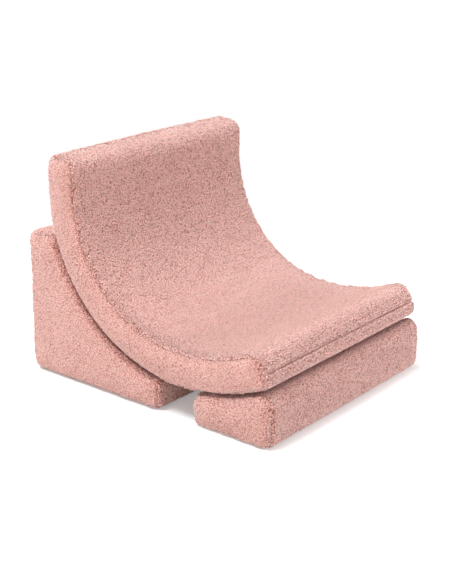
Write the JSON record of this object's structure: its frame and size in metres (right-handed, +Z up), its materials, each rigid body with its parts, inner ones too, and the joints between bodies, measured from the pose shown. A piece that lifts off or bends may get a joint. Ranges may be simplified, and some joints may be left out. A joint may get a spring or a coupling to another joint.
{
  "type": "child's moon chair",
  "caption": "Low foam lounge chair for a small child: a curved pad leans on a wedge behind and rests on a low block in front, all in zipped curly pile covers.",
  "frame": {"origin": "on the floor under the middle of the chair's footprint, zip sliders included", "axes": "+Z up, +X towards the sitter's left, -Y towards the open front of the chair; the chair is symmetric about X = 0 apart from the zip sliders"},
  "size_m": [0.4996, 0.5844, 0.4381],
  "materials": {
    "pile_fabric": "curly bouclé-like pile, dusty pink",
    "foam": "open-cell polyurethane foam, cream",
    "zip_tape": "woven polyester tape with a nylon coil",
    "zip_metal": "satin lacquer over a cast slider",
    "hook_and_loop": "nylon hook and loop tape"
  },
  "bodies": {
    "wedge": {"wedge_foam": "foam", "wedge_back_panel": "pile_fabric", "wedge_face_panel": "pile_fabric", "wedge_base_panel": "pile_fabric", "wedge_side_panel_right": "pile_fabric", "wedge_side_panel_left": "pile_fabric", "wedge_zip_tape_lower": "zip_tape", "wedge_zip_tape_upper": "zip_tape", "wedge_zip_top_stop": "zip_metal", "wedge_zip_end_stop": "zip_metal", "wedge_hook_strip_right": "hook_and_loop", "wedge_hook_strip_left": "hook_and_loop"},
    "pad": {"pad_foam": "foam", "pad_rear_yoke_panel": "pile_fabric", "pad_face_panel": "pile_fabric", "pad_underside_panel": "pile_fabric", "pad_side_panel_right": "pile_fabric", "pad_side_panel_left": "pile_fabric", "pad_zip_tape_lower": "zip_tape", "pad_zip_tape_upper": "zip_tape", "pad_zip_top_stop": "zip_metal", "pad_zip_end_stop": "zip_metal", "pad_loop_strip_wedge_right": "hook_and_loop", "pad_loop_strip_wedge_left": "hook_and_loop", "pad_loop_strip_block_right": "hook_and_loop", "pad_loop_strip_block_left": "hook_and_loop"},
    "block": {"block_foam": "foam", "block_top_panel": "pile_fabric", "block_front_panel": "pile_fabric", "block_base_panel": "pile_fabric", "block_side_panel_right": "pile_fabric", "block_side_panel_left": "pile_fabric", "block_zip_tape_lower": "zip_tape", "block_zip_tape_upper": "zip_tape", "block_zip_top_stop": "zip_metal", "block_zip_end_stop": "zip_metal", "block_hook_strip_right": "hook_and_loop", "block_hook_strip_left": "hook_and_loop"},
    "pad_slider": {"pad_zip_slider": "zip_metal"},
    "pad_pull": {"pad_zip_pull_tab": "zip_metal"},
    "wedge_slider": {"wedge_zip_slider": "zip_metal"},
    "wedge_pull": {"wedge_zip_pull_tab": "zip_metal"},
    "block_slider": {"block_zip_slider": "zip_metal"},
    "block_pull": {"block_zip_pull_tab": "zip_metal"}
  },
  "joints": [
    {"name": "pad_lift", "type": "slide", "parent": "wedge", "child": "pad", "axis": [0, 0, 1], "range_m": [0, 0.35]},
    {"name": "block_slide", "type": "slide", "parent": "wedge", "child": "block", "axis": [0, -1, 0], "range_m": [0, 0.35]},
    {"name": "pad_zip_run", "type": "slide", "parent": "pad", "child": "pad_slider", "axis": [1, 0, 0], "range_m": [0, 0.3644]},
    {"name": "pad_zip_pull", "type": "hinge", "parent": "pad_slider", "child": "pad_pull", "pos_m": [-0.1822, 0.23139, 0.385], "axis": [0, 0, 1], "range_deg": [0, 180]},
    {"name": "wedge_zip_run", "type": "slide", "parent": "wedge", "child": "wedge_slider", "axis": [1, 0, 0], "range_m": [0, 0.3644]},
    {"name": "wedge_zip_pull", "type": "hinge", "parent": "wedge_slider", "child": "wedge_pull", "pos_m": [-0.1822, 0.29039, 0.04], "axis": [0, 0, 1], "range_deg": [0, 180]},
    {"name": "block_zip_run", "type": "slide", "parent": "block", "child": "block_slider", "axis": [1, 0, 0], "range_m": [0, 0.3644]},
    {"name": "block_zip_pull", "type": "hinge", "parent": "block_slider", "child": "block_pull", "pos_m": [-0.1822, -0.11761, 0.03], "axis": [0, 0, 1], "range_deg": [0, 180]}
  ]
}
